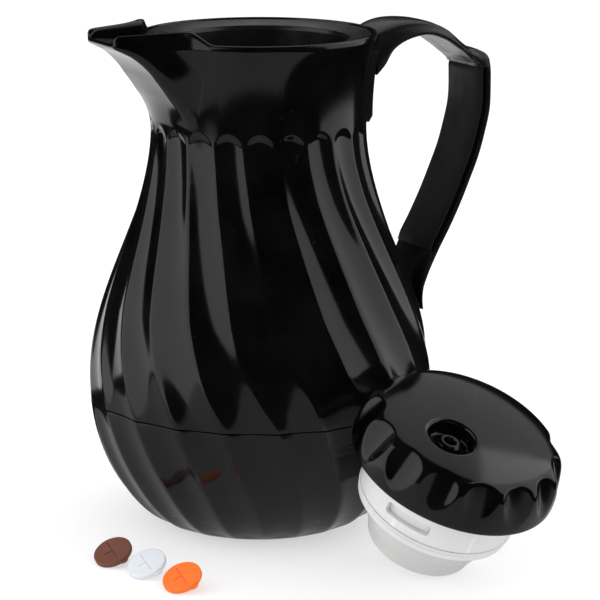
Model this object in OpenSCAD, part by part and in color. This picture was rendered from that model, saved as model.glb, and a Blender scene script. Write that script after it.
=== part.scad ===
// Insulated coffee server: a swirl-fluted pot with a pouring spout and a strap
// handle, its lift-out lid with a turning pour valve, and three drink tabs.
// Millimetres. The origin is the centre of the foot, +Z is up, the spout points
// to -X and the handle to +X. The lid stands on its cup beside the pot, leaning
// over, and the tabs lie in front.

/* [Pot] */
// Height of the pot from the table to the rim
pot_h = 250; // [248:1:252]
// Largest diameter of the body, over the flute ridges
body_d = 175; // [174:0.5:176]
// Diameter of the neck at its narrowest
neck_d = 108; // [107.5:0.5:108.5]
// Diameter over the rim
rim_d = 119; // [118.5:0.5:119.5]
// Height of the seam between the upper and the base shell
seam_z = 67; // [66:0.5:68]
// Wall of the outer shells
shell_wall = 2.5; // [2.2:0.1:2.8]

/* [Flutes] */
// Number of swirled flutes round the body
flute_count = 22; // [16:1:24]
// Depth of a flute between its ridges
flute_depth = 2; // [1:0.1:2.2]
// Turn of the flutes for each millimetre of height
flute_twist = 0.225; // [0.1:0.005:0.3]
// Height at which the flutes fade out
flute_top = 206; // [204:1:207]

/* [Spout] */
// Reach of the spout from the pot's axis
spout_reach = 85; // [82:1:88]
// Width over the spout's tip
spout_tip_w = 36; // [32:1:38]
// Width over the spout where it leaves the rim
spout_root_w = 52; // [48:1:54]
// Thickness of the spout's walls
spout_wall = 3.6; // [3:0.2:4]

/* [Handle] */
// Reach of the handle from the pot's axis
handle_reach = 126.8; // [125:0.2:128]
// Width of the handle strap
handle_w = 35; // [33:1:36]
// Width of the grip pad on the strap's inner side
grip_w = 34; // [30:1:35]
// Thickness of the strap behind the grip pad
strap_shell = 3.4; // [3:0.1:3.8]

/* [Lid] */
// Diameter over the cap's lip
cap_d = 102.6; // [101:0.2:104]
// Height of the cap above its lip
cap_h = 27.5; // [27:0.5:28.5]
// Number of finger scallops, 24 degrees apart; the rest of the cap's edge is smooth
scallop_count = 11; // [7:1:15]
// Diameter of the stopper's sleeve
sleeve_d = 77.4; // [76.8:0.1:77.6]
// Length of the sleeve below the cap
sleeve_h = 26.5; // [26:0.1:27]
// Depth of the whole stopper below the cap
stopper_h = 49; // [48:0.5:50]
// Diameter of the stopper's cup at its lower end
cup_d = 53; // [50:1:56]
// Lean of the lid from upright
lid_tilt = 26.4; // [26:0.2:27]
// Direction in plan in which the lid leans
lid_azimuth = -72.5; // [-74:0.5:-71]
// Distance in plan from the pot's axis to the centre of the cap's lip
lid_reach = 133; // [133:0.5:138]

/* [Tabs] */
// Diameter of a drink tab
tab_d = 19.2; // [18:0.2:20]
// Thickness of a drink tab
tab_t = 2.4; // [2:0.1:2.8]
// Length of the stud under a tab
stud_h = 3.6; // [3:0.2:4]

/* [Hidden] */
$fn = 96;
gap = 0.3;
body_r = body_d / 2;
neck_r = neck_d / 2;
rim_r = rim_d / 2;
foot_r = 44;
foot_z = 0.8;
belly_z = 72;
neck_z = 205;
lip_z = pot_h - 4.5;

// ---- curves ----
function bez(a, b, c, d, t) =
    pow(1 - t, 3) * a + 3 * t * pow(1 - t, 2) * b + 3 * t * t * (1 - t) * c + t * t * t * d;
function bez_run(a, b, c, d, n, from = 0) = [for (i = [from:n]) bez(a, b, c, d, i / n)];
// n steps along an arc about c, from a0 to a1 degrees
function arc(c, r, a0, a1, n) =
    [for (i = [0:n]) let (a = a0 + (a1 - a0) * i / n) c + r * [cos(a), sin(a)]];
// a smooth curve through points, n steps between each pair
function through(p, n) = [
    for (i = [0:len(p) - 2], k = [0:n - 1])
        let (
            a = p[max(i - 1, 0)],
            b = p[i],
            c = p[i + 1],
            d = p[min(i + 2, len(p) - 1)],
            t = k / n
        )
        0.5 * (
            2 * b + (c - a) * t + (2 * a - 5 * b + 4 * c - d) * t * t + (3 * b - a - 3 * c + d) * t * t * t
        ),
    p[len(p) - 1]
];

// ---- the pot's outline, as [radius, height] from the foot to the rim ----
lower_curve = bez_run([foot_r + 1, foot_z], [64, foot_z], [body_r, 33], [body_r, belly_z], 12);
waist_curve = bez_run([body_r, belly_z], [body_r, 120], [neck_r, 158], [neck_r, neck_z], 16, 1);
flare_curve = bez_run([neck_r, neck_z], [neck_r, 222], [rim_r - 3.5, 238], [rim_r, lip_z], 8, 1);
outline = concat(lower_curve, waist_curve, flare_curve, [[rim_r, pot_h - 0.6], [rim_r - 0.6, pot_h]]);
function radius_at(z, p = outline) = lookup(z, [for (q = p) [q[1], q[0]]]);

// ---- swirl flutes: scooped walls that meet in ridges ----
flute_phase = 3.1;
flute_fade = 20;
flute_steps = 4;
function flute_turn(z) = flute_phase + flute_twist * (seam_z - z);
function flute_cut(z) = flute_depth * max(0, min(1, (flute_top - z) / flute_fade, (z - foot_z) / 4));
function flute_ring(z) = [
    for (i = [0:flute_count * flute_steps - 1])
        let (
            u = i / flute_steps,
            r = radius_at(z) - flute_cut(z) * sin(180 * (u - floor(u))),
            a = flute_turn(z) + 360 * u / flute_count
        )
        [r * cos(a), r * sin(a), z]
];
module fluted(zs) {
    n = flute_count * flute_steps;
    m = len(zs);
    polyhedron(
        points = [for (z = zs) each flute_ring(z)],
        faces = concat(
            [[for (i = [0:n - 1]) i]],
            [
                for (k = [0:m - 2], i = [0:n - 1])
                    let (a = k * n, b = a + n, j = (i + 1) % n) each [[a + i, b + i, b + j], [a + i, b + j, a + j]]
            ],
            [[for (i = [n - 1:-1:0]) (m - 1) * n + i]]
        )
    );
}
// heights from a to b in n even steps
function steps(a, b, n) = [for (i = [0:n]) a + (b - a) * i / n];

// a hollow or solid turned from an outline of [radius, height] points
module turned(p) rotate_extrude() polygon(p);
// the pot's outline between two heights, set in by t
function inset_run(t, a, b, n) = [for (z = steps(a, b, n)) [radius_at(z) - t, z]];

// ---- the neck and mouth ----
bore_r = 39.6;
gallery_r = 44;
collar_r = 56.5;
collar_z = 244.8;
land_top = 226;
land_z = 209;
seam_seal_r = 84.2;
skirt_z = 200;
skirt_r = 47;
neck_bore_r = 51.2;
liner_neck_r = 42.2;
liner_wall = 2.2;
liner_low = 18;
liner_top = 206.4;
floor_z = 3;
floor_t = 2.6;
shell_in = flute_depth + shell_wall;

// ---- the spout ----
// U-shaped sections between two [reach, height] lists; the half-width narrows from w0 to w1
module spout_sections(w0, w1, z_low, z_high, from, to) {
    n = 8;
    k = 8;
    sect = [
        for (i = [0:n])
            let (
                x = from + (to - from) * i / n,
                w = w0 + (w1 - w0) * max(0, min(1, (x - spout_x) / (spout_reach - spout_x))),
                lo = lookup(x, z_low),
                hi = lookup(x, z_high)
            )
            [for (j = [0:k]) let (a = 180 * j / k) [-x, -w * cos(a), hi - (hi - lo) * pow(sin(a), 0.5)]]
    ];
    c = k + 1;
    polyhedron(
        points = [for (q = sect) each q],
        faces = concat(
            [[for (j = [k:-1:0]) j]],
            [
                for (i = [0:n - 1], j = [0:k])
                    let (a = i * c, b = a + c, m = (j + 1) % c) each [[a + j, b + m, b + j], [a + j, a + m, b + m]]
            ],
            [[for (j = [0:k]) n * c + j]]
        )
    );
}
spout_x = 52;
spout_under = [
    [46, 200], [52, 206], [58.7, 216], [62.7, 228], [67, 234], [74, 240.3], [79, 244], [85, 247], [95, 248]
];
spout_over = [[44, 250], [48, 251], [52, 255], [60, 256], [85, 254], [95, 254]];
spout_floor = [[30, 243], [44, 244], [60, 246.5], [85, 250], [95, 250.5]];
spout_open = [[30, 262], [95, 262]];
channel_half = spout_root_w / 2 - spout_wall;
module spout_channel()
    spout_sections(channel_half, spout_tip_w / 2 - spout_wall, spout_floor, spout_open, 38, 92);

// ---- screws ----
// a pan-head screw pointing to -Z with its head's seat at the origin
module screw(shaft_r, shaft_l, head_r, head_h) {
    translate([0, 0, -shaft_l]) cylinder(r = shaft_r, h = shaft_l, $fn = 24);
    difference() {
        cylinder(r = head_r, h = head_h, $fn = 32);
        translate([0, 0, head_h - 1]) linear_extrude(2) square([head_r * 1.2, 0.9], center = true);
        translate([0, 0, head_h - 1]) linear_extrude(2) square([0.9, head_r * 1.2], center = true);
    }
}
tongue_screw_z = [212, 226];
tail_screw_z = 112;
tail_lean = 15;
screw_r = 1.45;
screw_l = 7;
screw_head_r = 2.9;
screw_head_h = 1.8;
module at_tongue_screws()
    for (z = tongue_screw_z)
        translate([radius_at(z) + tongue_gap + tongue_t, 0, z]) rotate([0, 90, 0]) children();
module at_tail_screw()
    translate([radius_at(tail_screw_z) + 3.2, 0, tail_screw_z]) rotate([0, 90 - tail_lean, 0]) children();
// the pilot hole in the shell, and the clearance hole and head room in the handle
module pilot_hole()
    translate([0, 0, -screw_l - gap]) cylinder(r = screw_r + 0.05, h = screw_l + 4, $fn = 24);
module handle_hole() {
    translate([0, 0, -4]) cylinder(r = screw_r + 0.25, h = 12, $fn = 24);
    cylinder(r = screw_head_r + gap, h = 12, $fn = 32);
}

// ---- the pot ----
// rows of the neck, from low in the fluted part up to the rim
neck_low = 192;
neck_heights = concat([neck_low, 199, flute_top], steps(210.86, lip_z, 5), [pot_h - 0.6]);
module upper_shell() color([0.05, 0.05, 0.055]) difference() {
    fluted(concat(
        [seam_z + 0.2], steps(72, flute_top - flute_fade, 11), neck_heights, [pot_h]
    ));
    turned(concat(
        [[0, seam_z - 1]], inset_run(shell_in, seam_z - 1, 176, 12),
        [[neck_bore_r, 184], [neck_bore_r, collar_z]],
        [[collar_r + gap, collar_z], [collar_r + gap, pot_h + 8], [0, pot_h + 8]]
    ));
    spout_channel();
    seam_groove();
    at_tongue_screws() pilot_hole();
    at_tail_screw() pilot_hole();
}
// room for the gasket on the inside of the seam
module seam_groove() turned([
    [seam_seal_r - 5, seam_z - 1.1], [seam_seal_r + 0.1, seam_z - 1.1], [seam_seal_r + 0.1, seam_z + 1.1],
    [seam_seal_r - 5, seam_z + 1.1]
]);
// the spout, welded on round the neck and over the rim
module pouring_spout() color([0.05, 0.05, 0.055]) difference() {
    spout_sections(spout_root_w / 2, spout_tip_w / 2, spout_under, spout_over, 49, spout_reach);
    turned(concat(
        [[0, neck_low]], [for (z = neck_heights) [radius_at(z) + 0.05, z]],
        [[rim_r + 0.05, pot_h + 0.05], [0, pot_h + 0.05]]
    ));
    cylinder(r = lip_r + 1, h = pot_h + 12);
    spout_channel();
}
module base_shell() color([0.05, 0.05, 0.055]) difference() {
    fluted(concat([foot_z, 2, 4, 7, 11, 16, 22, 30, 40, 50, 60], [seam_z - 0.2]));
    turned(concat(
        [[0, floor_z + floor_t], [50, floor_z + floor_t]],
        inset_run(shell_in, 12, seam_z + 1, 8), [[0, seam_z + 1]]
    ));
    translate([0, 0, foot_z - 1]) cylinder(r = foot_r + 0.1, h = floor_z - foot_z + 1);
    cylinder(r = 8.05, h = 12);
    seam_groove();
}
module foot_pad() color([0.09, 0.09, 0.09]) difference() {
    cylinder(r = foot_r - 0.1, h = floor_z - 0.1);
    rotate_extrude() translate([36, 0]) square([1.2, 0.8]);
    rotate_extrude() translate([24, 0]) square([1.2, 0.8]);
}
module fill_plug() color([0.8, 0.8, 0.78]) {
    translate([0, 0, floor_z]) cylinder(r = 8, h = floor_t + 0.4);
    translate([0, 0, floor_z + floor_t + 0.4]) cylinder(r1 = 8.8, r2 = 7, h = 1.4);
}
module seam_gasket() color([0.3, 0.3, 0.3]) translate([0, 0, seam_z - 1])
    rotate_extrude() translate([seam_seal_r - 1.8, 0]) square([1.8, 2]);
module mouth_collar() color([0.06, 0.06, 0.065]) difference() {
    turned([
        [bore_r + 3, skirt_z], [skirt_r, skirt_z], [skirt_r, collar_z - 2.5], [skirt_r + 1.5, collar_z + 0.1],
        [collar_r, collar_z + 0.1], [collar_r, pot_h - 0.7], [gallery_r + 1, pot_h - 2.8],
        [gallery_r + 0.2, pot_h - 4.8], [gallery_r, pot_h - 5], [gallery_r, land_top + 3], [bore_r, land_top],
        [bore_r, land_z], [bore_r + 3, land_z]
    ]);
    // notch that lets the drink out to the spout
    translate([-collar_r - 5, -channel_half, collar_z - 0.8]) cube([collar_r - 25, 2 * channel_half, 12]);
}
// the vessel that holds the coffee: outside line of its wall, from the bottom up
liner_line = concat(
    bez_run([20, 19], [60, 19], [70, 30], [70, 62], 8),
    bez_run([70, 62], [70, 118], [liner_neck_r, 140], [liner_neck_r, 178], 12, 1)
);
function liner_at(z) = lookup(z, [for (q = liner_line) [q[1], q[0]]]);
module inner_liner() color([0.1, 0.1, 0.1]) difference() {
    turned(concat(
        [[0, liner_low], [20, liner_low]], liner_line, [[liner_neck_r, liner_top], [0, liner_top]]
    ));
    turned(concat(
        [[0, liner_low + liner_wall]],
        [for (q = liner_line) [q[0] - (q[1] < 178 ? liner_wall : 2), max(q[1], liner_low + liner_wall)]],
        [[liner_neck_r - 2, liner_top + 1], [0, liner_top + 1]]
    ));
}
module liner_gasket() color([0.75, 0.75, 0.72])
    turned([[40.4, liner_top], [42.1, liner_top], [42.1, land_z], [40.4, land_z]]);
jacket_low = 31;
module foam_jacket() color([0.85, 0.8, 0.6]) turned(concat(
    [for (z = steps(jacket_low, 176, 14)) [min(radius_at(z) - shell_in - gap, 82.1), z]],
    [
        [neck_bore_r - gap, 184], [neck_bore_r - gap, 243], [skirt_r + gap, 240],
        [skirt_r + gap, skirt_z - gap]
    ],
    [[liner_neck_r + gap, skirt_z - gap], [liner_neck_r + gap, 178]],
    [for (z = steps(174, jacket_low, 40)) [liner_at(z) + 2 * gap, z]]
));
module foam_base() color([0.85, 0.8, 0.6]) difference() {
    turned([[0, 7.6], [48, 7.6], [60, 12.5], [60, 17.7], [0, 17.7]]);
    cylinder(r = 9.2, h = 9);
}

// ---- the handle ----
// outer and inner lines of the strap in side view, as [reach, height]
strap_outer = through([
    [57, 240], [62, 247.5], [72, 251.8], [84, 252.2], [94, 250.4], [103, 246.4], [110, 240.8], [115.5, 236.8],
    [121, 235.2], [124.6, 232.4], [126.4, 226], [handle_reach, 216], [126.3, 204], [123.6, 192], [120, 180],
    [115, 168], [109.6, 156], [103.2, 143.5], [96.6, 132], [90.6, 120], [87.2, 110], [87.4, 102]
], 3);
strap_inner = through([
    [85.2, 102], [84.4, 110], [86.2, 121], [92, 134.5], [99, 146.5], [105.2, 158.5], [110.8, 170.5],
    [115.8, 182.5], [119.6, 195], [121.8, 207], [122, 219], [119.5, 226.4], [113, 231.8], [107, 236.2],
    [99, 241.2], [88.4, 244.4], [77, 242.8], [68.6, 238.2], [63.8, 231], [59, 226]
], 3);
strap_half = handle_w / 2;
tongue_gap = 1;
tongue_t = 3.4;
tongue_low = 203;
tongue_angle = 18.4;
function tongue_line(t) = [for (z = steps(tongue_low, 238, 7)) [radius_at(z) + t, z]];
function flip(p) = [for (i = [len(p) - 1:-1:0]) p[i]];
module side_plate(p, w) rotate([90, 0, 0]) translate([0, 0, -w / 2]) linear_extrude(w) polygon(p);
module handle_shell() color([0.07, 0.07, 0.075]) difference() {
    union() {
        side_plate(concat(strap_outer, strap_inner), handle_w);
        rotate([0, 0, -tongue_angle]) rotate_extrude(angle = 2 * tongue_angle)
            polygon(concat(tongue_line(tongue_gap), flip(tongue_line(tongue_gap + tongue_t))));
    }
    // the grip pad's bed
    side_plate(concat(pad_run(0), [[80, 130], [80, 226]]), handle_w + 2);
    turned(concat(
        [[0, 190]], inset_run(-tongue_gap + 0.5, 190, lip_z, 8), inset_run(-gap, lip_z, pot_h, 1),
        [[0, pot_h]]
    ));
    turned([[0, 90], each inset_run(-gap, 90, 130, 6), [0, 130]]);
    at_tongue_screws() handle_hole();
    at_tail_screw() handle_hole();
}
// the grip pad: a stem on the strap and a wider face, which leaves a groove along each side
pad_first = 30;
pad_last = 54;
stem_w = 26;
stem_t = 1.7;
pad_face = 3.3;
function set_in(p, t, i) =
    let (d = p[min(i + 1, len(p) - 1)] - p[max(i - 1, 0)]) p[i] + t * [d[1], -d[0]] / norm(d);
function pad_run(t, trim = 0) =
    [for (i = [pad_first + trim:pad_last - trim]) set_in(strap_outer, strap_shell + t, i)];
module handle_grip() color([0.09, 0.09, 0.1]) {
    side_plate(concat(pad_run(0.1, 1), flip(pad_run(stem_t, 1))), stem_w);
    side_plate(concat(pad_run(stem_t, 1), flip(pad_run(pad_face, 1))), grip_w);
}
module tongue_screws() color([0.5, 0.5, 0.52])
    at_tongue_screws() screw(screw_r, screw_l, screw_head_r, screw_head_h);
module tail_screw() color([0.5, 0.5, 0.52])
    at_tail_screw() screw(screw_r, screw_l, screw_head_r, screw_head_h);

// ---- the lid, built upright with its lip at z = 0 and then leant over ----
lip_r = cap_d / 2;
sleeve_r = sleeve_d / 2;
sleeve_wall = 2.4;
drum_r = sleeve_r - sleeve_wall - gap;
drum_wall = 2;
cup_r = cup_d / 2;
cup_round = 4;
lid_z = (stopper_h - cup_round) * cos(lid_tilt) + (cup_r - cup_round) * sin(lid_tilt) + cup_round;
lid_plan = -73;
lid_pos = [lid_reach * cos(lid_plan), lid_reach * sin(lid_plan), lid_z];
module at_lid() translate(lid_pos) rotate([0, 0, lid_azimuth]) rotate([0, lid_tilt, 0]) children();
recess_pos = [4.5, -18];
recess_r = 11.3;
recess_z = 19;
socket_r = 2.9;
socket_top = 23;
window_turn = 288;
window_span = 36;
window_low = -16.5;
window_high = -10.5;
scallop_r = 14.5;
scallop_at = 60.1;
scallop_lean = 21.5;
scallop_pitch = 24;
scallop_first = 180;
cap_line = concat(
    [[lip_r - 3.2, 0], [lip_r - 1, 0.4], [lip_r, 2.4], [lip_r, 4]],
    bez_run([lip_r, 4], [lip_r - 0.6, 13], [lip_r - 2, 21.5], [lip_r - 10, 24.2], 6, 1),
    bez_run([lip_r - 10, 24.2], [27, cap_h - 0.8], [14, cap_h], [0.01, cap_h], 5, 1)
);
module cap_shell() color([0.04, 0.04, 0.045]) at_lid() difference() {
    turned(concat([[0, 0]], cap_line, [[0, cap_h]]));
    // hollow inside, clear of the scallops
    turned([[0, -1], [46, -1], [46, 8], [42.4, 13], [40.8, 18], [36, 20.4], [33, 16.4], [0, 16.4]]);
    // finger scallops, deep at the shoulder and run out at the lip
    for (i = [0:scallop_count - 1]) rotate([0, 0, scallop_first + scallop_pitch * i])
        translate([scallop_at, 0, 22]) rotate([0, -scallop_lean, 0])
            cylinder(r = scallop_r, h = 50, center = true, $fn = 64);
    translate([recess_pos[0], recess_pos[1], 0]) difference() {
        translate([0, 0, recess_z]) cylinder(r = recess_r, h = 12);
        cylinder(r = 6, h = socket_top);
    }
    translate([recess_pos[0], recess_pos[1], recess_z - 0.6]) cylinder(r = socket_r, h = 10);
}
plate_z = 2;
plate_t = 2.4;
// the three screw posts round the lid's axis, from the height z
post_ring_r = 25;
module at_posts(z) for (i = [0:2]) rotate([0, 0, 120 * i]) translate([post_ring_r, 0, z]) children();
module cap_plate() color([0.88, 0.88, 0.87]) at_lid() {
    difference() {
        translate([0, 0, plate_z]) cylinder(r = 45.7, h = plate_t);
        translate([0, 0, plate_z - 1]) cylinder(r = 1.6, h = 8);
        at_posts(plate_z - 1) cylinder(r = 1.3, h = 8);
    }
    difference() {
        translate([0, 0, plate_z + plate_t]) cylinder(r = 5, h = 8);
        translate([0, 0, plate_z]) cylinder(r = 1.6, h = 10);
    }
    at_posts(plate_z + plate_t) difference() {
        cylinder(r = 3.4, h = 6);
        translate([0, 0, -1]) cylinder(r = 1.3, h = 6);
    }
}
module cap_foam() color([0.85, 0.8, 0.6]) at_lid() difference() {
    turned([
        [5.3, plate_z + plate_t + 0.1], [44.6, plate_z + plate_t + 0.1], [44.6, 8], [41.4, 12.8],
        [40.2, 16], [5.3, 16]
    ]);
    at_posts(4) cylinder(r = 3.7, h = 8);
}
// windows cut through a wall of outer radius r, centred on the angle a
module windows(r, a) for (i = [0, 1]) rotate([0, 0, a + 180 * i - window_span / 2])
    rotate_extrude(angle = window_span)
        translate([r - 5, window_low]) square([7, window_high - window_low]);
module valve_drum() color([0.86, 0.86, 0.85]) at_lid() difference() {
    turned([
        [3, plate_z - 2], [3, plate_z], [drum_r, plate_z], [drum_r, -22], [drum_r - drum_wall, -22],
        [drum_r - drum_wall, plate_z - 2]
    ]);
    windows(drum_r, window_turn + 90);
    at_posts(plate_z - 3) cylinder(r = 1.5, h = 6);
}
module drum_screws() color([0.6, 0.6, 0.62]) at_lid()
    at_posts(plate_z - 2) rotate([180, 0, 0]) screw(1.25, 7, 2.4, 1.5);
pivot_r = 2.5;
hub_low = -sleeve_h;
module pivot_screw() color([0.6, 0.6, 0.62]) at_lid() {
    translate([0, 0, hub_low - 0.3]) cylinder(r = pivot_r, h = plate_z + 0.3 - hub_low);
    translate([0, 0, plate_z]) cylinder(r = 1.55, h = 8);
    translate([0, 0, hub_low - 2.3]) cylinder(r = 4.4, h = 2);
}
module stopper_sleeve() color([0.9, 0.9, 0.89]) at_lid() difference() {
    union() {
        turned([
            [sleeve_r - sleeve_wall, plate_z - 0.4], [sleeve_r, plate_z - 0.4], [sleeve_r, -sleeve_h + 1.2],
            [sleeve_r - 1.2, -sleeve_h], [0, -sleeve_h], [0, -sleeve_h + 2.2],
            [sleeve_r - sleeve_wall, -sleeve_h + 2.2]
        ]);
        translate([0, 0, -sleeve_h]) cylinder(r = 6, h = 8);
    }
    translate([0, 0, -sleeve_h - 1]) cylinder(r = pivot_r + 0.05, h = 12);
    windows(sleeve_r, window_turn);
    // ports in the shelf, where the drink enters
    for (i = [0:3]) rotate([0, 0, 45 + 90 * i]) translate([0, 0, -sleeve_h - 1])
        rotate_extrude(angle = 60) translate([33, 0]) square([2.6, 4]);
    // groove for the seal
    rotate_extrude() translate([sleeve_r - 1.2, -23.4]) square([2, 2.4]);
}
module seal_ring() color([0.93, 0.93, 0.92]) at_lid() turned([
    [sleeve_r - 1.15, -23.3], [sleeve_r + 0.3, -23], [sleeve_r + 0.55, -22.2], [sleeve_r + 0.3, -21.4],
    [sleeve_r - 1.15, -21.1]
]);
cup_top = -sleeve_h - 0.05;
cup_low = -stopper_h;
cup_line = concat([[31.6, cup_top], [31.2, cup_top - 6]], bez_run(
    [31.2, cup_top - 6], [30, cup_low + 10], [cup_r + 0.6, cup_low + cup_round + 4],
    [cup_r, cup_low + cup_round], 5, 1
));
module stopper_cup() color([0.85, 0.85, 0.84]) at_lid() turned(concat(
    [[29.6, cup_top]], cup_line, arc([cup_r - cup_round, cup_low + cup_round], cup_round, 0, -90, 6),
    [[0, cup_low], [0, cup_low + 2.4]],
    arc([cup_r - cup_round - 1, cup_low + cup_round + 1.4], cup_round - 1, -90, 0, 4),
    [for (i = [len(cup_line) - 2:-1:1]) [cup_line[i][0] - 2, cup_line[i][1]]]
));
module cup_foam() color([0.85, 0.8, 0.6]) at_lid() difference() {
    turned([
        [0, cup_top - 0.4], [28.6, cup_top - 0.4], [28.6, cup_top - 4.5], [26.2, -37], [24.6, -41],
        [23.6, cup_low + 5.5], [21, cup_low + 3.1], [0, cup_low + 3.1]
    ]);
    translate([0, 0, cup_top - 4]) cylinder(r = 6, h = 6);
}

// ---- the drink tabs, each propped on its stud ----
tab_r = tab_d / 2;
stud_r = 2.8;
tab_lean = atan(stud_h / (tab_r - stud_r));
tab_lean_to = -155;
tab_spots = [[-97.9, -37.7], [-90.1, -60.7], [-83, -85.9]];
module drink_tab(i) translate([tab_spots[i][0], tab_spots[i][1], 0]) rotate([0, 0, tab_lean_to])
    translate([tab_r, 0, 0]) rotate([0, tab_lean, 0]) translate([-tab_r, 0, 0]) {
        difference() {
            union() {
                cylinder(r = tab_r, h = tab_t - 0.5);
                translate([0, 0, tab_t - 0.5]) cylinder(r1 = tab_r, r2 = tab_r - 0.5, h = 0.5);
                rotate([0, 0, 75]) translate([tab_r - 1.5, 0, 0]) cylinder(r = 2.6, h = 1.4, $fn = 32);
            }
            // an engraved line across the tab and a short one square to it
            translate([0, 0, tab_t - 0.4]) rotate([0, 0, 60]) linear_extrude(1) {
                square([tab_d * 0.7, 0.7], center = true);
                translate([0, -4]) square([0.7, 4], center = true);
            }
        }
        translate([0, 0, -stud_h]) cylinder(r = stud_r, h = stud_h, $fn = 48);
    }
module tab_brown() color([0.43, 0.25, 0.2]) drink_tab(0);
module tab_white() color([0.85, 0.87, 0.89]) drink_tab(1);
module tab_orange() color([1, 0.47, 0.16]) drink_tab(2);

upper_shell();
pouring_spout();
base_shell();
mouth_collar();
inner_liner();
foam_jacket();
foam_base();
liner_gasket();
seam_gasket();
fill_plug();
foot_pad();
handle_shell();
handle_grip();
tongue_screws();
tail_screw();
cap_shell();
cap_foam();
cap_plate();
valve_drum();
drum_screws();
pivot_screw();
stopper_sleeve();
stopper_cup();
cup_foam();
seal_ring();
tab_brown();
tab_white();
tab_orange();
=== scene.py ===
import math

import bmesh
import bpy
import numpy as np
from mathutils import Matrix, Vector


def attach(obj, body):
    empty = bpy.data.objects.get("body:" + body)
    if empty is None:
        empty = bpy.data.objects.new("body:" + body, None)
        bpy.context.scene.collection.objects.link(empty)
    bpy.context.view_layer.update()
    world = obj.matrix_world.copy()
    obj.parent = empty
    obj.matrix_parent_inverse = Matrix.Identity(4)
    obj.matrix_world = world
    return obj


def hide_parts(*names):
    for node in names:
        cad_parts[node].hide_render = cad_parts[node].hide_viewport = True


MM = 0.001
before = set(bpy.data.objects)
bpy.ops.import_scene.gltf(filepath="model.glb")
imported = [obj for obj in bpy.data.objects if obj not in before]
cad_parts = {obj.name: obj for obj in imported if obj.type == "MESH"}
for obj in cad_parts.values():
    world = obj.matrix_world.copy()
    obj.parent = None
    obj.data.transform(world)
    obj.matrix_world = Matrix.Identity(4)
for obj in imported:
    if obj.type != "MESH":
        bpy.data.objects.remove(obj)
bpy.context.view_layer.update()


# ---------- number helpers ----------
def smooth_max(a, b, soft):
    """The larger of a and b, rounded over where they meet."""
    gap = np.clip(soft - np.abs(a - b), 0, None) / soft
    return np.maximum(a, b) + gap * gap * soft / 4


def smooth_min(a, b, soft):
    return -smooth_max(-a, -b, soft)


def ease(x):
    """0 to 1 with level ends."""
    x = np.clip(x, 0, 1)
    return x * x * (3 - 2 * x)


def bezier(a, b, c, d, count, start=0):
    """Points along a cubic curve; start=1 leaves out the first, where it follows on from another."""
    t = np.arange(start, count + 1)[:, None] / count
    a, b, c, d = (np.array(p, float) for p in (a, b, c, d))
    return (1 - t) ** 3 * a + 3 * t * (1 - t) ** 2 * b + 3 * t * t * (1 - t) * c + t**3 * d


def spline(points, steps):
    """A smooth curve through points, with that many steps between each pair."""
    p = np.array(points, float)
    out = []
    for i in range(len(p) - 1):
        a, b, c, d = p[max(i - 1, 0)], p[i], p[i + 1], p[min(i + 2, len(p) - 1)]
        for k in range(steps):
            t = k / steps
            square, cube = 2 * a - 5 * b + 4 * c - d, 3 * b - a - 3 * c + d
            out.append(0.5 * (2 * b + (c - a) * t + square * t * t + cube * t**3))
    out.append(p[-1])
    return np.array(out)


def filleted(points, steps=5):
    """A closed outline of (x, y, radius) corners, each rounded to its radius."""
    out = []
    count = len(points)
    for i, (x, y, radius) in enumerate(points):
        here = np.array([x, y], float)
        if radius <= 0:
            out.append(here)
            continue
        before = np.array(points[i - 1][:2], float) - here
        after = np.array(points[(i + 1) % count][:2], float) - here
        len_before, len_after = np.linalg.norm(before), np.linalg.norm(after)
        before, after = before / len_before, after / len_after
        half = math.acos(np.clip(before @ after, -1, 1)) / 2
        reach = min(radius / math.tan(half), 0.49 * len_before, 0.49 * len_after)
        a, b = here + before * reach, here + after * reach
        for k in range(steps + 1):
            t = k / steps
            out.append((1 - t) ** 2 * a + 2 * t * (1 - t) * here + t * t * b)
    return np.array(out)


# ---------- mesh helpers ----------
def mesh_piece(name, verts, faces):
    """A smooth-shaded mesh from points in millimetres."""
    mesh = bpy.data.meshes.new(name)
    mesh.from_pydata((np.asarray(verts) * MM).tolist(), [], faces)
    work = bmesh.new()
    work.from_mesh(mesh)
    bmesh.ops.remove_doubles(work, verts=work.verts, dist=2e-6)
    bmesh.ops.dissolve_degenerate(work, edges=work.edges, dist=1e-7)
    bmesh.ops.recalc_face_normals(work, faces=work.faces)
    work.to_mesh(mesh)
    work.free()
    obj = bpy.data.objects.new(name, mesh)
    bpy.context.scene.collection.objects.link(obj)
    shade(obj)
    return obj


def shade(obj, angle=38):
    """Smooth shading, with edges sharper than the angle kept crisp."""
    mesh = obj.data
    mesh.shade_smooth()
    mesh.set_sharp_from_angle(angle=math.radians(angle))


def grid_faces(rows, cols, wrap_rows):
    """Quads between neighbouring rings of points; each ring is closed."""
    faces = []
    for r in range(rows if wrap_rows else rows - 1):
        for c in range(cols):
            r2, c2 = (r + 1) % rows, (c + 1) % cols
            faces.append((r * cols + c, r * cols + c2, r2 * cols + c2, r2 * cols + c))
    return faces


def loft(name, rings, closed_loop=False, capped=False):
    """Joins rings of points, an array of (ring, point, 3).

    closed_loop joins the last ring to the first; capped closes both ends.
    """
    rings = np.asarray(rings)
    rows, cols = rings.shape[:2]
    faces = grid_faces(rows, cols, closed_loop)
    if capped:
        faces.append(tuple(range(cols)))
        faces.append(tuple((rows - 1) * cols + i for i in range(cols)))
    return mesh_piece(name, rings.reshape(-1, 3), faces)


def lathe(name, outline, count=192):
    """Turns a closed outline of (radius, height) points about Z."""
    angles = np.arange(count) * 2 * math.pi / count
    rings = [
        np.stack([r * np.cos(angles), r * np.sin(angles), np.full(count, z)], axis=1) for r, z in outline
    ]
    return loft(name, rings, closed_loop=True)


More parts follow.
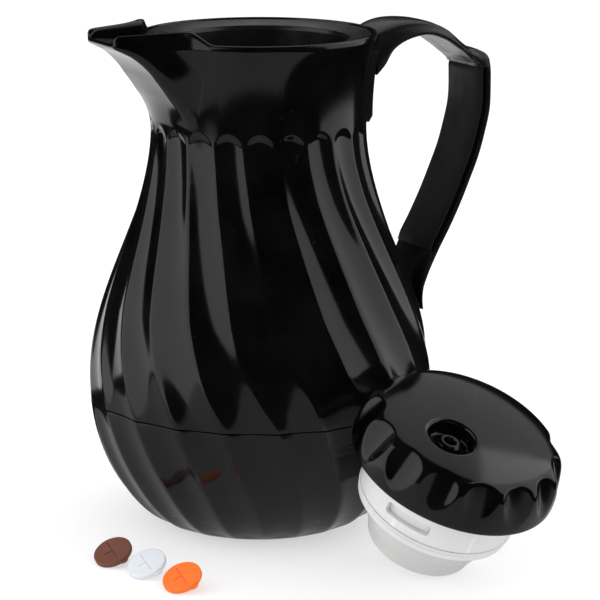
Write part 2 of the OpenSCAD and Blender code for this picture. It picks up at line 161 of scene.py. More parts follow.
def combine(target, other, operation):
    """Applies a boolean of other to target and removes other."""
    mod = target.modifiers.new("combine", "BOOLEAN")
    mod.operation, mod.object, mod.solver = operation, other, "EXACT"
    graph = bpy.context.evaluated_depsgraph_get()
    mesh = bpy.data.meshes.new_from_object(target.evaluated_get(graph))
    target.modifiers.remove(mod)
    target.data = mesh
    bpy.data.objects.remove(other)
    shade(target)


def place(obj, matrix):
    """Moves a mesh's own points."""
    obj.data.transform(matrix)
    obj.data.update()
    return obj


# ---------- the pot's form ----------
BODY_R, BELLY_Z = 87.5, 72
NECK_R, NECK_Z = 54, 205
RIM_R, LIP_Z, POT_H = 59.5, 247.2, 250
FOOT_R, FOOT_Z = 45, 0.8
SEAM_Z, SEAM_HALF = 67, 0.22
WALL_IN = 4.5
FLUTES, FLUTE_DEPTH, FLUTE_TOP = 22, 2.1, 207
OUTLINE = np.concatenate([
    bezier((FOOT_R, FOOT_Z), (64, FOOT_Z), (BODY_R, 33), (BODY_R, BELLY_Z), 60),
    bezier((BODY_R, BELLY_Z), (BODY_R, 120), (NECK_R, 158), (NECK_R, NECK_Z), 90, 1),
    bezier((NECK_R, NECK_Z), (NECK_R, 222), (RIM_R - 3.3, 239.5), (RIM_R, LIP_Z), 40, 1),
    [(RIM_R, POT_H)],
])
# how far the ridges have turned by each height, in degrees from the seam
TURN_Z = [0, 30, 67, 93, 117, 150, 172, 190, 204.5, 260]
TURN_DEG = [14.6, 9.2, 0, -8.0, -14.2, -20.2, -24.8, -27.6, -29.1, -30]
RIDGE_AT_SEAM = 3.1


def radius_at(z):
    return np.interp(z, OUTLINE[:, 1], OUTLINE[:, 0])


def flute_turn(z):
    return RIDGE_AT_SEAM + np.interp(z, TURN_Z, TURN_DEG)


def fluted_radius(angle_deg, z):
    """Outer radius: shallow scoops that meet in soft ridges and end in round tops."""
    u = np.mod((angle_deg - flute_turn(z)) * FLUTES / 360, 1)
    scoop = np.sqrt(np.sin(math.pi * u) ** 2 + 0.01) - 0.1
    round_end = FLUTE_TOP - 5 * (2 * u - 1) ** 2
    top = ease((round_end - z) / 4)
    shallower = np.interp(z, [168, 200], [1, 0.7])
    foot = ease((z - FOOT_Z) / 5)
    return radius_at(z) - FLUTE_DEPTH * scoop * (top * shallower) * foot


# ---------- the spout, a swelling of the neck towards -X ----------
# the underside of the spout down its middle, as [reach, height]
SPOUT_REACH = spline([
    (38, 196), (42, 206), (47, 212), (52.3, 217.7), (57, 222.3), (60.9, 227), (64.2, 231.1), (67.3, 235.3),
    (71.4, 239.6), (76, 243.3), (80.5, 245.8), (84.4, 247.9), (85, 250.5), (85, 262),
], 12)
# half its width at the tip and at the root, and how far out each of them is
TIP_HALF, ROOT_HALF, ROOT_X, TIP_X = 18, 26, 52, 85
SPOUT_WALL = 3.4
# the blend between spout and neck, and how much narrower the spout is low on the neck
SPOUT_BLEND, CORNER_BLEND, LOW_INSET = 12.0, 7.0, 3.0
# the beak fills only the angles near the spout; elsewhere it stays well inside the neck
BEAK_SPAN, BEAK_AWAY = math.radians(75), 40.0
# the side with the spout is drawn in by this much, as far round as this angle each way
FRONT_TRIM, FRONT_SPAN = 0.15, 1.3
# the floor of the pour channel
CHANNEL_X = [30, 44, 60, 85]
CHANNEL_Z = [244.4, 244.6, 246.5, 249.6]


def beak(off, reach, inset):
    """Distance from the axis to the beak's side or end, off radians from the spout's middle."""
    slope = (ROOT_HALF - TIP_HALF) / (TIP_X - ROOT_X)
    off = np.abs(off)
    side = (ROOT_HALF - inset + slope * ROOT_X) / (np.sin(off) + slope * np.cos(off))
    end = reach / np.maximum(np.cos(off), 0.3)
    limit = smooth_min(end, side, CORNER_BLEND)
    return np.where(off < BEAK_SPAN, limit, BEAK_AWAY)


def upper_outer(angle_deg, z):
    """Outer radius of the neck and the spout together."""
    off = np.radians(np.mod(angle_deg, 360) - 180)
    reach = np.interp(z, SPOUT_REACH[:, 1], SPOUT_REACH[:, 0])
    nose = beak(off, reach, LOW_INSET * ease((238 - z) / 26))
    front = np.abs(off) < FRONT_SPAN
    return smooth_max(fluted_radius(angle_deg, z), nose, SPOUT_BLEND) - FRONT_TRIM * front


def rim_top(angle_deg):
    """Height of the rim: level, rising in an S to the spout's walls, low where the channel pours."""
    pour_z = 250.2
    off = np.abs(np.mod(angle_deg, 360) - 180)
    wall = np.interp(off, [0, 12, 27, 90], [253.8, 254.2, 255.8, 255.8])
    rise = ease((43 - off) / 14)
    height = POT_H + (wall - POT_H) * rise
    pour = ease((off - 7.4) / 4.4)
    return pour_z + (height - pour_z) * np.where(off < 20, pour, 1)


def pot_angles():
    """Columns round the pot, closer together over the spout."""
    even = np.arange(0, 360, 0.75)
    fine = np.arange(135, 225, 0.3)
    return np.concatenate([even[even < 135], fine, even[even >= 225]])


def ring(radius, angle_deg, z):
    """One ring of points about the pot's axis."""
    a = np.radians(angle_deg)
    z = np.broadcast_to(z, a.shape)
    return np.stack([radius * np.cos(a), radius * np.sin(a), z], axis=1)


COLLAR_R, LEDGE_Z, NECK_BORE = 56.8, 244.8, 51.2
# the rounded edges of the rim, outside and inside
OUTER_EDGE, INNER_EDGE = 1.5, 0.7


def upper_shell():
    """Body above the seam, neck, rim and spout in one skin, from the seam up and down the inside."""
    a = pot_angles()
    off = np.radians(a - 180)
    top = rim_top(a)
    channel = beak(off, TIP_X - SPOUT_WALL * 0.2, SPOUT_WALL)
    inner_wall = smooth_max(np.full(a.shape, COLLAR_R), channel, 3.0)
    edge = SEAM_Z + SEAM_HALF
    rings = [ring(radius_at(SEAM_Z) - WALL_IN, a, edge)]
    rings.append(ring(fluted_radius(a, edge) - 0.7, a, edge))
    rings.append(ring(fluted_radius(a, edge + 0.15) - 0.2, a, edge + 0.15))
    # closer rows where the flutes end
    for low, high, step in ((67.9, 178, 1.6), (178, 196, 1.2), (196, 212, 0.6), (212, 238, 1.2)):
        for z in np.arange(low, high, step):
            rings.append(ring(upper_outer(a, z), a, z))
    # the last rows stretch up to the rim's own height
    wall_low = 238.0
    for t in np.linspace(0, 1, 22):
        z = wall_low + (top - OUTER_EDGE - wall_low) * t
        rings.append(ring(upper_outer(a, z), a, z))
    outer_top = upper_outer(a, top - OUTER_EDGE)
    thick = outer_top - inner_wall
    round_out = np.minimum(OUTER_EDGE, thick * 0.62)
    round_in = np.minimum(INNER_EDGE, thick * 0.3)
    for phi in np.radians([15, 30, 45, 60, 75, 90]):
        z = top - OUTER_EDGE * (1 - math.sin(phi))
        rings.append(ring(outer_top - round_out * (1 - math.cos(phi)), a, z))
    for phi in np.radians([90, 60, 30, 0]):
        z = top - INNER_EDGE * (1 - math.sin(phi))
        rings.append(ring(inner_wall + round_in * (1 - math.cos(phi)), a, z))
    # down the inside of the rim to the ledge or the channel's floor
    spread = ease((30 - np.abs(a - 180)) / 4)
    floor_wall = np.interp(inner_wall * np.cos(off * spread), CHANNEL_X, CHANNEL_Z)
    floor_wall = LEDGE_Z + (floor_wall - LEDGE_Z) * spread
    floor_wall = np.minimum(floor_wall, top - 0.75)
    for t in np.linspace(0.25, 1, 4):
        rings.append(ring(inner_wall, a, (top - INNER_EDGE) * (1 - t) + floor_wall * t))
    for t in np.linspace(0.12, 1, 8):
        r = inner_wall * (1 - t) + 49.5 * t
        z = LEDGE_Z + (np.interp(r, CHANNEL_X, CHANNEL_Z) - LEDGE_Z) * spread
        rings.append(ring(r, a, np.minimum(z, floor_wall)))
    inner_line = [(49.5, 240), (NECK_BORE, 236), (NECK_BORE, 184)]
    inner_line += [(radius_at(z) - WALL_IN, z) for z in np.linspace(172, SEAM_Z + 4, 12)]
    for r, z in inner_line:
        rings.append(ring(np.full(a.shape, r), a, z))
    return loft("body_upper", rings, closed_loop=True)


def base_shell():
    """The bowl under the seam."""
    a = np.arange(0, 360, 0.75)
    edge = SEAM_Z - SEAM_HALF
    rings = [ring(np.full(a.shape, 44.2), a, 3.0), ring(np.full(a.shape, 44.2), a, 1.1)]
    rings.append(ring(np.full(a.shape, 44.6), a, FOOT_Z))
    heights = OUTLINE[(OUTLINE[:, 1] > FOOT_Z + 0.02) & (OUTLINE[:, 1] < 10)][:, 1]
    for z in np.concatenate([heights, np.arange(10, 66, 1.6)]):
        rings.append(ring(fluted_radius(a, z), a, z))
    rings.append(ring(fluted_radius(a, edge - 0.15) - 0.2, a, edge - 0.15))
    rings.append(ring(fluted_radius(a, edge) - 0.7, a, edge))
    for r, z in [(82.9, edge), (82.0, 55), (77, 35), (66, 14), (50, 5.6), (8.1, 5.6), (8.1, 3.0)]:
        rings.append(ring(np.full(a.shape, r), a, z))
    return loft("body_base", rings, closed_loop=True)


def mouth_collar():
    """The ring in the mouth that the stopper sits in, notched for the spout."""
    outline = filleted([
        (42.0, 200, 0.4), (47, 200, 0.4), (47, 242.3, 0), (48.5, 244.9, 0), (56.5, 244.9, 0.2),
        (56.5, 249.3, 0.8), (45.4, 247.2, 0.7), (44.3, 245.2, 0.5), (44, 229.2, 0.6), (39.6, 226, 0.8),
        (39.6, 209, 0.4), (42.6, 209, 0), (42.6, 200.2, 0),
    ])
    collar = lathe("collar", outline, 288)
    notch = filleted([(-70, -22.2, 0), (-25, -22.2, 3), (-25, 22.2, 3), (-70, 22.2, 0)])
    ends = [np.column_stack([notch, np.full(len(notch), z)]) for z in (244.0, 262.0)]
    combine(collar, loft("notch", ends, capped=True), "DIFFERENCE")
    return collar


# ---------- the handle ----------
STRAP = [
    # outer reach, outer height, inner reach, inner height
    (57, 240, 59, 226), (62, 247.5, 63.8, 231), (72, 251.8, 68.6, 238.2), (84, 252.2, 77, 242.8),
    (94, 250.4, 88.4, 244.4), (103, 246.4, 99, 241.2), (110, 240.8, 107, 236.2), (115.5, 236.8, 110.4, 233.8),
    (121, 235.2, 113.4, 231.4), (124.6, 232.4, 116.9, 229), (126.4, 226, 119.5, 226), (126.7, 216, 122, 217),
    (126.3, 204, 121.8, 205), (123.6, 192, 119.3, 193), (120, 180, 115.7, 181.6), (115, 168, 110.7, 170),
    (109.6, 156, 105.2, 158), (103.2, 143.5, 98.8, 146), (96.6, 132, 92, 134.5), (90.6, 120, 86.2, 121),
    (87.2, 110, 84.9, 110), (87.4, 102, 85.5, 102),
]
STRAP_STEPS, STRAP_SHELL = 6, 3.4
# the grip pad's first and last station along STRAP, its half widths and the gap at its end
PAD_FROM, PAD_TO = 10.0, 18.2
PAD_HALF, STEM_HALF, PAD_END_GAP = 17.0, 13.0, 0.25


def strap_line():
    """The strap's outer and inner lines."""
    table = spline(STRAP, STRAP_STEPS)
    return table[:, :2], table[:, 2:]


def section_arch(thick):
    """Half of the arch's section from crown to underside, as (across, up): plate, cove and bead."""
    return [
        (0, thick), (6, thick - 0.12), (11, thick - 0.6), (13.6, thick - 1.3), (14.6, thick - 2.0),
        (14.9, 0.62 * thick), (15.4, 0.52 * thick), (16.5, 0.46 * thick), (17.3, 0.36 * thick),
        (17.5, 0.24 * thick), (17.2, 0.1 * thick), (16.2, 0.02 * thick), (14.8, 0.0), (8, 0.05 * thick),
        (0, 0.1 * thick),
    ]


def section_strap(thick):
    """The same for the strap: a rounded bar with a flat back."""
    return [
        (0, thick), (6, thick - 0.06), (12, thick - 0.22), (15.2, thick - 0.42), (16.6, thick - 0.8),
        (17.3, thick - 1.5), (17.5, 0.55 * thick), (17.5, 0.45 * thick), (17.5, 0.36 * thick),
        (17.5, 0.3 * thick), (17.4, 0.16 * thick), (17.1, 0.06 * thick), (16.6, 0.0), (8, 0.0), (0, 0.0),
    ]


def mirrored(half):
    """A whole section from the half on its right."""
    return np.concatenate([half * [-1, 1], half[-2:0:-1]])


def handle_strap():
    """The arch and the strap, thinner where the grip pad lies."""
    outer, inner = strap_line()
    rings = []
    for i in range(len(outer)):
        station = i / STRAP_STEPS
        low, high = inner[i], outer[i]
        versions = [low]
        on_pad = high + (low - high) * min(1, STRAP_SHELL / np.linalg.norm(high - low))
        if PAD_FROM <= station <= PAD_TO:
            versions = [on_pad]
        if abs(station - PAD_FROM) < 0.01:
            versions = [low, on_pad]
        if station <= PAD_TO < station + 1 / STRAP_STEPS:
            versions = [on_pad, low]
        arch = 1 - ease((station - 7.2) / 2.2)
        for base in versions:
            up = high - base
            thick = np.linalg.norm(up)
            up = up / thick
            half = np.array(section_arch(thick)) * arch + np.array(section_strap(thick)) * (1 - arch)
            full = mirrored(half)
            point = base[None, :] + full[:, 1:2] * up[None, :]
            rings.append(np.column_stack([point[:, 0], full[:, 0], point[:, 1]]))
    return loft("handle_strap", rings, capped=True)


def tongue():
    """The curved plate under the arch that lies along the neck."""
    spread, gap, thick = math.radians(18.4), 1.0, 3.4
    heights = np.linspace(203, 239, 26)
    rings = []
    for a in np.linspace(-spread, spread, 25):
        edge = 1 - abs(a / spread)
        trim = 1.2 * (1 - ease(edge / 0.08))
        foot_round = 1.6 * ease((206 - heights) / 3)
        outer = list(zip(radius_at(heights) + gap + thick - trim * 0.5 - foot_round, heights))
        inner = [(radius_at(z) + gap + trim * 0.1, z) for z in heights[::-1]]
        line = np.array(outer + inner)
        rings.append(np.column_stack([line[:, 0] * math.cos(a), line[:, 0] * math.sin(a), line[:, 1]]))
    return loft("handle_tongue", rings, capped=True)


def handle():
    """Arch, strap and tongue in one, clear of the neck."""
    strap = handle_strap()
    combine(strap, tongue(), "UNION")
    low = 190
    line = [(0.01, low)] + [(radius_at(z) + 0.5, z) for z in np.linspace(low, LIP_Z, 12)]
    combine(strap, lathe("neck_room", line + [(RIM_R + 0.3, POT_H), (0.01, POT_H)]), "DIFFERENCE")
    strap.name = "handle"
    return strap


def grip_pad():
    """The inlaid grip: a stem on the strap and a wider two-facet face."""
    outer, inner = strap_line()
    first, last = int(PAD_FROM * STRAP_STEPS), int(PAD_TO * STRAP_STEPS)
    rings = []
    face_rise, stem_rise, edge_rise = 3.2, 1.5, 2.5
    full = mirrored(np.array([
        (0, 0.05), (STEM_HALF, 0.05), (STEM_HALF, stem_rise), (PAD_HALF - 0.3, edge_rise),
        (PAD_HALF, edge_rise + 0.2), (PAD_HALF, face_rise - 0.25), (PAD_HALF - 0.4, face_rise),
        (8.5, face_rise + 0.65), (0.4, face_rise + 1.25), (0, face_rise + 1.27),
    ]))
    for i in range(first, last + 1):
        into = (inner[i] - outer[i]) / np.linalg.norm(inner[i] - outer[i])
        along = (outer[i + 1] - outer[i]) / np.linalg.norm(outer[i + 1] - outer[i])
        base = outer[i] + into * STRAP_SHELL + along * (PAD_END_GAP if i == first else 0)
        end = min(i - first, last - i)
        drop = [0.9, 0.3, 0.0][min(end, 2)]
        rise = np.where(full[:, 1] > edge_rise, full[:, 1] - drop, full[:, 1])
        point = base[None, :] + rise[:, None] * into[None, :]
        rings.append(np.column_stack([point[:, 0], full[:, 0], point[:, 1]]))
    return loft("grip", rings, capped=True)


# ---------- the lid ----------
LID_TILT, LID_TURN = math.radians(26.4), math.radians(-72.5)
STOPPER_H, CUP_ROUND, CUP_R = 49, 4, 26.5
LID_REACH, LID_PLAN = 133, math.radians(-73)
# the height at which the leaning lid's rounded cup rests on the table
LID_Z = CUP_ROUND + (STOPPER_H - CUP_ROUND) * math.cos(LID_TILT) + (CUP_R - CUP_ROUND) * math.sin(LID_TILT)
LID_POS = Vector((LID_REACH * math.cos(LID_PLAN), LID_REACH * math.sin(LID_PLAN), LID_Z)) * MM
LEAN = Matrix.Rotation(LID_TURN, 4, "Z") @ Matrix.Rotation(LID_TILT, 4, "Y")
AT_LID = Matrix.Translation(LID_POS) @ LEAN
SCALLOPS, SCALLOP_PITCH, SCALLOP_FIRST = 11, math.radians(24), math.radians(180)
# the leaning cutter: its radius, its axis at one height, its lean for each mm, the softness of its edge
SCALLOP_R, SCALLOP_AT, SCALLOP_H, SCALLOP_SLOPE, SCALLOP_SOFT = 14.6, 57.9, 22.0, 0.49, 1.0
LIP_R = 51.3
RECESS, RECESS_R = (4.5, -18.0), 11.3
CAP_LINE = np.concatenate([
    [(0, 0), (LIP_R - 3.2, 0), (LIP_R - 1.4, 0.25), (LIP_R - 0.5, 0.8), (LIP_R - 0.08, 1.7)],
    [(LIP_R, 2.6), (LIP_R, 4)],
    bezier((LIP_R, 4), (LIP_R - 0.5, 13), (LIP_R - 1.3, 20.4), (43.6, 23.4), 24, 1),
    bezier((43.6, 23.4), (38.4, 25.5), (22, 27.5), (0, 27.5), 30, 1),
])
# the cap's surface is measured out from this point of its section
CORE_R, CORE_H = 30.0, 9.0


def ray_reach(line, phi):
    """Distance from the core point to a convex outline along phi."""
    rel = line - [CORE_R, CORE_H]
    at = np.arctan2(rel[:, 1], rel[:, 0])
    order = np.argsort(at)
    at, rel = at[order], rel[order]
    d = np.array([math.cos(phi), math.sin(phi)])
    i = int(np.clip(np.searchsorted(at, phi), 1, len(at) - 1))
    p, q = rel[i - 1], rel[i]
    e = q - p
    return (p[0] * e[1] - p[1] * e[0]) / (d[0] * e[1] - d[1] * e[0])


def scallop_reach(off, d, limit):
    """How far along d the ray from the core meets a scallop cutter, off radians from its middle."""

    def depth(s):
        centre = SCALLOP_AT + SCALLOP_SLOPE * (SCALLOP_H - CORE_H - s * d[1])
        half = SCALLOP_R**2 - (centre * np.sin(off)) ** 2
        wall = centre * np.cos(off) - np.sqrt(np.clip(half, 0, None))
        return np.where(half > 0, CORE_R + s * d[0] - wall, -1.0)

    low, high = np.zeros(off.shape), np.full(off.shape, limit)
    for _ in range(30):
        middle = (low + high) / 2
        cut = depth(middle) > 0
        high = np.where(cut, middle, high)
        low = np.where(cut, low, middle)
    return high


def cap_shell():
    """The domed cap with its scallops and the recess with the boss."""
    count = 480
    a = np.arange(count) * 2 * math.pi / count
    centres = SCALLOP_FIRST + SCALLOP_PITCH * np.arange(SCALLOPS)
    gaps = np.abs(np.mod(a[:, None] - centres[None, :] + math.pi, 2 * math.pi) - math.pi)
    off = gaps.min(axis=1)
    rings = []
    for phi in np.radians(np.linspace(-28, 146, 150)):
        d = np.array([math.cos(phi), math.sin(phi)])
        far = ray_reach(CAP_LINE, phi)
        enter = scallop_reach(off, d, far + 4)
        reach = smooth_min(np.full(count, far), enter, SCALLOP_SOFT)
        reach = np.where(enter > far + SCALLOP_SOFT, far, reach)
        r = np.maximum(CORE_R + reach * d[0], 0.0)
        h = CORE_H + reach * d[1]
        rings.append(np.stack([r * np.cos(a), r * np.sin(a), h], axis=1))
    hollow = [
        (0.0, 27.5), (0.0, 15.9), (33, 16.2), (36, 20.2), (40.6, 18), (42.2, 13), (45.8, 8), (46.2, 0.4),
        (46.8, 0.0),
    ]
    for r, h in hollow:
        rings.append(np.stack([r * np.cos(a), r * np.sin(a), np.full(count, h)], axis=1))
    cap = loft("cap", rings, closed_loop=True)
    well = lathe("well", filleted([
        (2.9, 18.2, 0), (2.9, 23.2, 0), (3.4, 23.9, 0), (4.4, 23.9, 0), (6, 22.6, 1.6), (6.0, 19.2, 1.4),
        (RECESS_R, 19.2, 2.4), (RECESS_R, 36, 0), (0.01, 36, 0), (0.01, 18.2, 0),
    ]), 96)
    at_recess = Matrix.Translation(Vector((RECESS[0], RECESS[1], 0)) * MM)
    combine(cap, place(well, at_recess), "DIFFERENCE")
    # the rounded edge of the recess follows the dome's slope
    edge = 1.7
    turns = np.radians(np.arange(0, 91, 11.25))
    bevel = [(RECESS_R + edge * (1 - math.cos(t)), -edge * (1 - math.sin(t))) for t in turns]
    line = [(0.01, -edge - 0.4), (RECESS_R, -edge - 0.4)] + bevel + [(13.4, 0.15), (13.4, 6), (0.01, 6)]
    flare = lathe("flare", line, 96)
    slope = Matrix.Rotation(math.radians(4.5), 4, Vector((18, 4.5, 0)))
    lift = Matrix.Translation((RECESS[0] * MM, RECESS[1] * MM, 26.55 * MM))
    combine(cap, place(flare, lift @ slope), "DIFFERENCE")
    return place(cap, AT_LID)


SLEEVE_R, SLEEVE_H, SLEEVE_WALL = 38.7, 26.5, 2.4
WINDOW_TURN, WINDOW_SPAN = 288, 36
WINDOW_LOW, WINDOW_HIGH = -16.5, -10.5


def window_block(turn):
    """A block of a ring with rounded ends, turned to an angle in degrees, to cut a pour window with."""
    inner, outer, corner = SLEEVE_R - 5, SLEEVE_R + 3, 1.7
    middle, half = (WINDOW_LOW + WINDOW_HIGH) / 2, (WINDOW_HIGH - WINDOW_LOW) / 2
    into = corner * (1 - np.cos(np.radians(np.arange(0, 91, 11.25))))
    length = SLEEVE_R * math.radians(WINDOW_SPAN)
    along = np.concatenate([into, np.linspace(corner, length - corner, 24)[1:-1], length - into[::-1]])
    sections = []
    for s in along:
        short = corner - np.sqrt(max(corner**2 - max(corner - min(s, length - s), 0) ** 2, 0))
        a = math.radians(turn - WINDOW_SPAN / 2) + s / SLEEVE_R
        low, high = middle - half + short, middle + half - short
        square = [(inner, low), (outer, low), (outer, high), (inner, high)]
        sections.append([(r * math.cos(a), r * math.sin(a), z) for r, z in square])
    return loft("window", sections, capped=True)


def sleeve():
    """The stopper's sleeve: a closed-bottomed tube with a groove for the ring, a pin and two windows."""
    top, floor, pin_top = 1.6, -SLEEVE_H + 2.2, -SLEEVE_H + 8
    groove_r, groove_low, groove_top = SLEEVE_R - 1.2, -23.4, -21
    inner_r, pin_r = SLEEVE_R - SLEEVE_WALL, 6
    body = lathe("sleeve", filleted([
        (0.01, -SLEEVE_H, 0), (SLEEVE_R - 0.4, -SLEEVE_H, 1.2), (SLEEVE_R, -24.6, 0.6),
        (SLEEVE_R, groove_low, 0.15), (groove_r, groove_low, 0), (groove_r, groove_top, 0),
        (SLEEVE_R, groove_top, 0.15), (SLEEVE_R, top, 0.3), (inner_r, top, 0.3), (inner_r, floor, 0.8),
        (pin_r, floor, 0.5), (pin_r, pin_top, 0.3), (0.01, pin_top, 0),
    ]), 240)
    for turn in (WINDOW_TURN, WINDOW_TURN + 180):
        combine(body, window_block(turn), "DIFFERENCE")
    return place(body, AT_LID)


def cup():
    """The hollow cup under the sleeve, drawn in to a rounded foot."""
    top = -SLEEVE_H - 0.05
    turns = np.radians(np.arange(0, 91, 11.25))
    centre_r, centre_h = CUP_R - CUP_ROUND, CUP_ROUND - STOPPER_H
    foot = [(centre_r + CUP_ROUND * math.cos(t), centre_h - CUP_ROUND * math.sin(t)) for t in turns]
    outline = np.concatenate([
        [(29.6, top), (31.3, top), (31.6, top - 0.3), (31.3, top - 6)],
        bezier((31.3, top - 6), (30, -39), (27.3, -41), (26.9, -44.2), 8, 1),
        foot,
        [(12, -49), (11.2, -48.6), (0.01, -48.6)],
        [(0.01, -46.6), (20, -46.6), (24.4, -44), (27.8, -38), (29.2, top - 6)],
    ])
    return place(lathe("cup", outline), AT_LID)


# ---------- the drink tabs ----------
TAB_R, TAB_T, STUD_R, STUD_H = 9.6, 2.4, 2.8, 3.6
# a tab rests on the corner of its stud and the edge of its disc
TAB_LEAN = math.atan(STUD_H / (TAB_R - STUD_R))
TAB_LEAN_TO = math.radians(-155)
TAB_SPOTS = {"tab_brown": (-97.9, -37.7), "tab_white": (-90.1, -60.7), "tab_orange": (-83, -85.9)}


def drink_tab(name):
    """A round tab lying on its edge and its stud, with a grip nib and a cut mark of two bars."""
    disc = lathe(name, filleted([
        (0.01, 0, 0), (TAB_R, 0, 0.35), (TAB_R, TAB_T, 0.6), (0.01, TAB_T, 0),
    ]), 128)
    stud = lathe("stud", filleted([
        (0.01, -STUD_H, 0), (STUD_R, -STUD_H, 0.3), (STUD_R, 0.4, 0), (0.01, 0.4, 0),
    ]), 64)
    combine(disc, stud, "UNION")
    nib = lathe("nib", filleted([
        (0.01, 0.02, 0), (2.6, 0.02, 0.2), (2.6, 1.4, 0.3), (0.01, 1.4, 0),
    ]), 48)
    place(nib, Matrix.Rotation(math.radians(75), 4, "Z") @ Matrix.Translation((8.1 * MM, 0, 0)))
    combine(disc, nib, "UNION")
    groove = [(-0.45, TAB_T + 0.3), (0.45, TAB_T + 0.3), (0.2, TAB_T - 0.4), (-0.2, TAB_T - 0.4)]
    for start, end, turn in ((-6.7, 6.7, 60), (-4.4, -0.3, 150)):
        bar = loft("line", [[(x, y, z) for y, z in groove] for x in (start, end)], capped=True)
        place(bar, Matrix.Rotation(math.radians(turn), 4, "Z"))
        combine(disc, bar, "DIFFERENCE")
    x, y = TAB_SPOTS[name]
    shift = Matrix.Translation((TAB_R * MM, 0, 0))
    lean = shift @ Matrix.Rotation(TAB_LEAN, 4, "Y") @ shift.inverted()
    spot = Matrix.Translation((x * MM, y * MM, 0)) @ Matrix.Rotation(TAB_LEAN_TO, 4, "Z")
    return place(disc, spot @ lean)


# ---------- materials ----------
def plastic(
    name, colour, rough, tint=0.12, grain=0.0002, grain_size=2500.0, scuff=0.06, sub=0.0, dust=0.0,
    gloss=0.5, metal=0.0,
):
    """Moulded plastic: mottled colour, uneven gloss, moulded grain, hairline scuffs and worn edges.

    tint is how far the colour wanders, grain the depth of the surface's grain in metres, scuff how
    rough the scuffs are, sub the subsurface weight and dust the share of specks.
    """
    mat = bpy.data.materials.new(name)
    mat.use_nodes = True
    tree = mat.node_tree
    nodes, link = tree.nodes, tree.links.new
    nodes.clear()
    out = nodes.new("ShaderNodeOutputMaterial")
    bsdf = nodes.new("ShaderNodeBsdfPrincipled")
    link(bsdf.outputs["BSDF"], out.inputs["Surface"])
    bsdf.inputs["IOR"].default_value = 1.49
    bsdf.inputs["Specular IOR Level"].default_value = gloss
    bsdf.inputs["Metallic"].default_value = metal
    if sub:
        bsdf.inputs["Subsurface Weight"].default_value = sub
        bsdf.inputs["Subsurface Radius"].default_value = (0.004, 0.004, 0.004)
    place_by = nodes.new("ShaderNodeTexCoord").outputs["Object"]

    def noise(scale, detail=3.0, stretch=None):
        source = place_by
        if stretch:
            turn = nodes.new("ShaderNodeMapping")
            turn.inputs["Scale"].default_value = stretch
            turn.inputs["Rotation"].default_value = (0.3, 0.2, 0.5)
            link(place_by, turn.inputs["Vector"])
            source = turn.outputs["Vector"]
        tex = nodes.new("ShaderNodeTexNoise")
        tex.inputs["Scale"].default_value = scale
        tex.inputs["Detail"].default_value = detail
        link(source, tex.inputs["Vector"])
        return tex.outputs["Fac"]

    def ramp(value, low, high, a, b):
        node = nodes.new("ShaderNodeMapRange")
        node.inputs["From Min"].default_value = low
        node.inputs["From Max"].default_value = high
        node.inputs["To Min"].default_value = a
        node.inputs["To Max"].default_value = b
        link(value, node.inputs["Value"])
        return node.outputs["Result"]

    def mix(factor, a, b):
        node = nodes.new("ShaderNodeMix")
        node.data_type = "RGBA"
        link(factor, node.inputs["Factor"])
        for socket, value in ((node.inputs["A"], a), (node.inputs["B"], b)):
            if isinstance(value, tuple):
                socket.default_value = (*value, 1)
            else:
                link(value, socket)
        return node.outputs["Result"]

    def add(a, b):
        node = nodes.new("ShaderNodeMath")
        node.operation = "ADD"
        link(a, node.inputs[0])
        link(b, node.inputs[1])
        return node.outputs["Value"]

    darker = tuple(c * (1 - tint) for c in colour)
    lighter = tuple(min(1, c * (1 + tint) + 0.002) for c in colour)
    base = mix(ramp(noise(38), 0.35, 0.65, 0, 1), darker, lighter)
    hair = ramp(noise(260, 2.0, (1, 14, 2)), 0.66, 0.74, 0, 1)
    geometry = nodes.new("ShaderNodeNewGeometry")
    edge = ramp(geometry.outputs["Pointiness"], 0.53, 0.62, 0, 0.5)
    worn = tuple(min(1, c * 1.35 + 0.012) for c in colour)
    base = mix(edge, base, worn)
    if dust:
        specks = ramp(noise(900, 1.0), 0.73, 0.76, 0, dust)
        base = mix(specks, base, (0.35, 0.34, 0.33))
    link(base, bsdf.inputs["Base Color"])
    uneven = ramp(noise(95, 4.0), 0.3, 0.7, rough * 0.85, rough * 1.2)
    link(add(uneven, ramp(hair, 0, 1, 0, scuff)), bsdf.inputs["Roughness"])
    bump = nodes.new("ShaderNodeBump")
    bump.inputs["Strength"].default_value = 0.5
    bump.inputs["Distance"].default_value = grain
    link(noise(grain_size, 2.0), bump.inputs["Height"])
    waves = nodes.new("ShaderNodeBump")
    waves.inputs["Strength"].default_value = 0.2
    waves.inputs["Distance"].default_value = 0.0002
    link(noise(55, 1.0), waves.inputs["Height"])
    link(waves.outputs["Normal"], bump.inputs["Normal"])
    link(bump.outputs["Normal"], bsdf.inputs["Normal"])
    return mat


BLACK = plastic("gloss_black", (0.0006, 0.0006, 0.0008), 0.12, grain=0.000003, scuff=0.06, dust=0.03)
SATIN = plastic("satin_black", (0.004, 0.004, 0.005), 0.26, grain=0.00001, grain_size=1800, dust=0.03)
PAD = plastic(
    "grip_black", (0.008, 0.008, 0.0098), 0.5, grain=0.00004, grain_size=1500, dust=0.03, gloss=0.3
)
DARK = plastic("liner_black", (0.012, 0.012, 0.012), 0.32, grain=0.00002)
WHITE = plastic("white_stopper", (0.68, 0.68, 0.685), 0.34, tint=0.02, grain=0.00002, sub=0.12)
# the cup's darker white; the valve drum behind the pour windows also wears it as painted shade for the recess
# it sits in
CUP_WHITE_AND_DRUM_SHADE = plastic("white_cup_and_drum_shade", (0.56, 0.56, 0.555), 0.36, tint=0.03, grain=0.00003, sub=0.2)
SEAL = plastic("seal_silicone", (0.6, 0.6, 0.595), 0.5, tint=0.04, grain=0.00004)
BROWN = plastic("tab_brown", (0.15, 0.05, 0.03), 0.36, tint=0.08, grain=0.00003)
TAB_WHITE = plastic("tab_white", (0.68, 0.71, 0.76), 0.36, tint=0.03, grain=0.00003)
